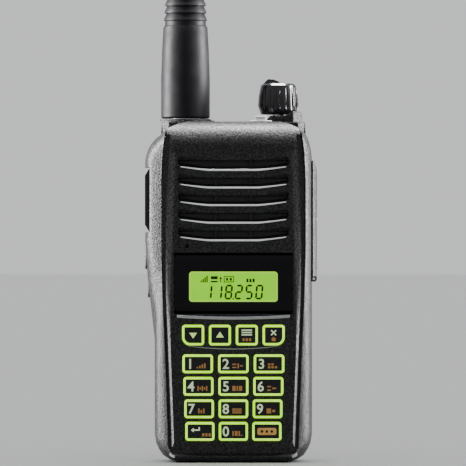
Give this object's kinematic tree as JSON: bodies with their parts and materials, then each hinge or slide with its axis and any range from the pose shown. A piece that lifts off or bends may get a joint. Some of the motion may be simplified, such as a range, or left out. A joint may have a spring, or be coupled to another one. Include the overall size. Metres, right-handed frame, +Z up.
{
  "type": "handheld aviation radio",
  "caption": "Handheld two-way radio with keypad, lit display, speaker slots, volume knob, side buttons, jack cover, battery pack, belt clip and tall flexible antenna.",
  "frame": {"origin": "the flat base, halfway across the case's width and halfway through the body's depth", "axes": "+Z up the antenna, +X to the right of a user who reads the display, -Y out of the keypad"},
  "size_m": [0.056, 0.0378, 0.2799],
  "materials": {
    "black_shell": "fine moulded grain, matte",
    "chassis_shell": "fine moulded grain, matte",
    "pack_shell": "fine moulded grain, matte",
    "window": "gloss, tinted",
    "silver_trim": "satin silver paint",
    "key_light": "translucent, lit from behind",
    "side_rubber": "satin",
    "antenna_rubber": "satin",
    "knob_plastic": "gloss",
    "white_lens": "milky",
    "seal_rubber": "matte",
    "steel": "plain",
    "contact_brass": "plated",
    "board_green": "solder mask",
    "cloth": "woven",
    "cone_paper": "matte",
    "display": "lit yellow-green",
    "light_guide": "white",
    "flex": "polyimide film",
    "cell_wrap": "shrink wrap",
    "socket_plastic": "matte"
  },
  "bodies": {
    "radio": {"front_case": "black_shell", "rear_chassis": "chassis_shell", "case_seal": "seal_rubber", "screws": "steel", "display_window": "window", "trim_bar": "silver_trim", "speaker_mesh": "cloth", "speaker_frame": "steel", "speaker_cone": "cone_paper", "microphone": "socket_plastic", "keypad_mat": "seal_rubber", "front_board": "board_green", "lcd_panel": "display", "lcd_frame": "light_guide", "main_board": "board_green", "shield_cans": "steel", "flex_cable": "flex", "volume_pot": "board_green", "indicator_lens": "white_lens", "antenna_connector": "steel", "antenna_gasket": "seal_rubber", "ptt_seal": "seal_rubber", "side_switches": "board_green", "hinge_pins": "steel", "jack_block": "socket_plastic", "battery_terminals": "contact_brass", "latch_spring": "steel", "clip_bracket": "pack_shell", "clip_spring": "steel"},
    "key_down": {"key_down": "key_light"},
    "key_up": {"key_up": "key_light"},
    "key_memory": {"key_memory": "key_light"},
    "key_clear": {"key_clear": "key_light"},
    "key_1": {"key_1": "key_light"},
    "key_2": {"key_2": "key_light"},
    "key_3": {"key_3": "key_light"},
    "key_4": {"key_4": "key_light"},
    "key_5": {"key_5": "key_light"},
    "key_6": {"key_6": "key_light"},
    "key_7": {"key_7": "key_light"},
    "key_8": {"key_8": "key_light"},
    "key_9": {"key_9": "key_light"},
    "key_enter": {"key_enter": "key_light"},
    "key_0": {"key_0": "key_light"},
    "key_function": {"key_function": "key_light"},
    "ptt": {"ptt_button": "side_rubber"},
    "side_key_upper": {"side_key_upper": "side_rubber"},
    "side_key_lower": {"side_key_lower": "side_rubber"},
    "knob": {"volume_knob": "knob_plastic", "volume_shaft": "steel"},
    "antenna": {"antenna_sheath": "antenna_rubber", "antenna_plug": "contact_brass", "antenna_coil": "contact_brass"},
    "jack_cover": {"jack_cover": "chassis_shell"},
    "battery": {"battery_cover": "pack_shell", "battery_case": "pack_shell", "battery_cells": "cell_wrap", "battery_contacts": "contact_brass"},
    "battery_latch": {"battery_latch": "side_rubber"},
    "clip": {"belt_clip": "pack_shell"}
  },
  "joints": [
    {"name": "key_down_press", "type": "slide", "parent": "radio", "child": "key_down", "axis": [0, 1, 0], "range_m": [0, 0.0005], "stiffness_N_per_m": 300},
    {"name": "key_up_press", "type": "slide", "parent": "radio", "child": "key_up", "axis": [0, 1, 0], "range_m": [0, 0.0005], "stiffness_N_per_m": 300},
    {"name": "key_memory_press", "type": "slide", "parent": "radio", "child": "key_memory", "axis": [0, 1, 0], "range_m": [0, 0.0005], "stiffness_N_per_m": 300},
    {"name": "key_clear_press", "type": "slide", "parent": "radio", "child": "key_clear", "axis": [0, 1, 0], "range_m": [0, 0.0005], "stiffness_N_per_m": 300},
    {"name": "key_1_press", "type": "slide", "parent": "radio", "child": "key_1", "axis": [0, 1, 0], "range_m": [0, 0.0005], "stiffness_N_per_m": 300},
    {"name": "key_2_press", "type": "slide", "parent": "radio", "child": "key_2", "axis": [0, 1, 0], "range_m": [0, 0.0005], "stiffness_N_per_m": 300},
    {"name": "key_3_press", "type": "slide", "parent": "radio", "child": "key_3", "axis": [0, 1, 0], "range_m": [0, 0.0005], "stiffness_N_per_m": 300},
    {"name": "key_4_press", "type": "slide", "parent": "radio", "child": "key_4", "axis": [0, 1, 0], "range_m": [0, 0.0005], "stiffness_N_per_m": 300},
    {"name": "key_5_press", "type": "slide", "parent": "radio", "child": "key_5", "axis": [0, 1, 0], "range_m": [0, 0.0005], "stiffness_N_per_m": 300},
    {"name": "key_6_press", "type": "slide", "parent": "radio", "child": "key_6", "axis": [0, 1, 0], "range_m": [0, 0.0005], "stiffness_N_per_m": 300},
    {"name": "key_7_press", "type": "slide", "parent": "radio", "child": "key_7", "axis": [0, 1, 0], "range_m": [0, 0.0005], "stiffness_N_per_m": 300},
    {"name": "key_8_press", "type": "slide", "parent": "radio", "child": "key_8", "axis": [0, 1, 0], "range_m": [0, 0.0005], "stiffness_N_per_m": 300},
    {"name": "key_9_press", "type": "slide", "parent": "radio", "child": "key_9", "axis": [0, 1, 0], "range_m": [0, 0.0005], "stiffness_N_per_m": 300},
    {"name": "key_enter_press", "type": "slide", "parent": "radio", "child": "key_enter", "axis": [0, 1, 0], "range_m": [0, 0.0005], "stiffness_N_per_m": 300},
    {"name": "key_0_press", "type": "slide", "parent": "radio", "child": "key_0", "axis": [0, 1, 0], "range_m": [0, 0.0005], "stiffness_N_per_m": 300},
    {"name": "key_function_press", "type": "slide", "parent": "radio", "child": "key_function", "axis": [0, 1, 0], "range_m": [0, 0.0005], "stiffness_N_per_m": 300},
    {"name": "ptt_press", "type": "slide", "parent": "radio", "child": "ptt", "axis": [1, 0, 0], "range_m": [0, 0.0008], "stiffness_N_per_m": 600},
    {"name": "side_key_upper_press", "type": "slide", "parent": "radio", "child": "side_key_upper", "axis": [1, 0, 0], "range_m": [0, 0.0005], "stiffness_N_per_m": 400},
    {"name": "side_key_lower_press", "type": "slide", "parent": "radio", "child": "side_key_lower", "axis": [1, 0, 0], "range_m": [0, 0.0005], "stiffness_N_per_m": 400},
    {"name": "volume_turn", "type": "hinge", "parent": "radio", "child": "knob", "pos_m": [0.0147, 0.005, 0.1133], "axis": [0, 0, 1], "range_deg": [-140, 140]},
    {"name": "antenna_twist", "type": "hinge", "parent": "radio", "child": "antenna", "pos_m": [-0.0157, 0.005, 0.1119], "axis": [0, 0, 1], "range_deg": [0, 90]},
    {"name": "jack_cover_swing", "type": "hinge", "parent": "radio", "child": "jack_cover", "pos_m": [0.0262, -0.0049, 0.0596], "axis": [0, 1, 0], "range_deg": [0, 110]},
    {"name": "battery_slide", "type": "slide", "parent": "radio", "child": "battery", "axis": [0, 0, -1], "range_m": [0, 0.01], "deforming": ["latch_spring"]},
    {"name": "battery_latch_press", "type": "slide", "parent": "radio", "child": "battery_latch", "axis": [0, 0, 1], "range_m": [0, 0.001], "stiffness_N_per_m": 500, "deforming": ["latch_spring"]},
    {"name": "clip_open", "type": "hinge", "parent": "radio", "child": "clip", "pos_m": [0, 0.0192, 0.0963], "axis": [1, 0, 0], "range_deg": [0, 12], "stiffness_Nm_per_rad": 0.5, "deforming": ["clip_spring"]}
  ]
}
